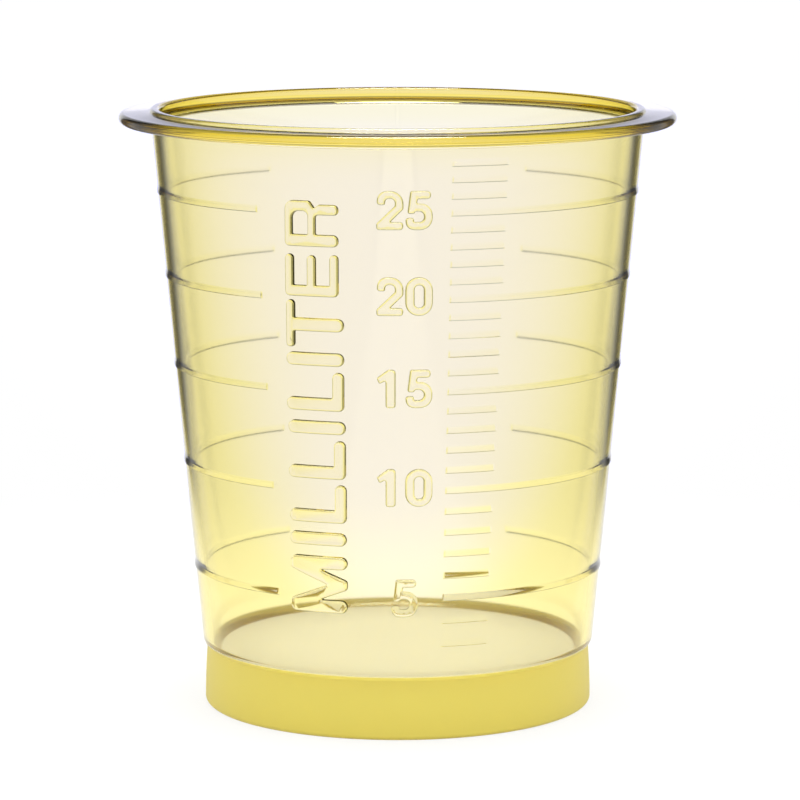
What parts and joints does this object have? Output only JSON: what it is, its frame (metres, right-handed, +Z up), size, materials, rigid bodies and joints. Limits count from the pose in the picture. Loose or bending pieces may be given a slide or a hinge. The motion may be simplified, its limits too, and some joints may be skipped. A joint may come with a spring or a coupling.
{
  "type": "medicine cup",
  "caption": "Small tapered dosing cup with a flat flanged rim, a hollow foot and a raised volume scale, in clear yellow plastic.",
  "frame": {"origin": "centre of the foot ring, on the surface the cup stands on", "axes": "+Z up the axis of the cup towards the mouth, -Y towards the side with the scale, +X to the right as seen from that side"},
  "size_m": [0.04, 0.04, 0.0433],
  "materials": {
    "clear_yellow_polypropylene": "glossy clear moulded polypropylene, tinted yellow, with a matte skirt under the floor"
  },
  "bodies": {
    "root": {"cup": "clear_yellow_polypropylene"}
  },
  "joints": []
}
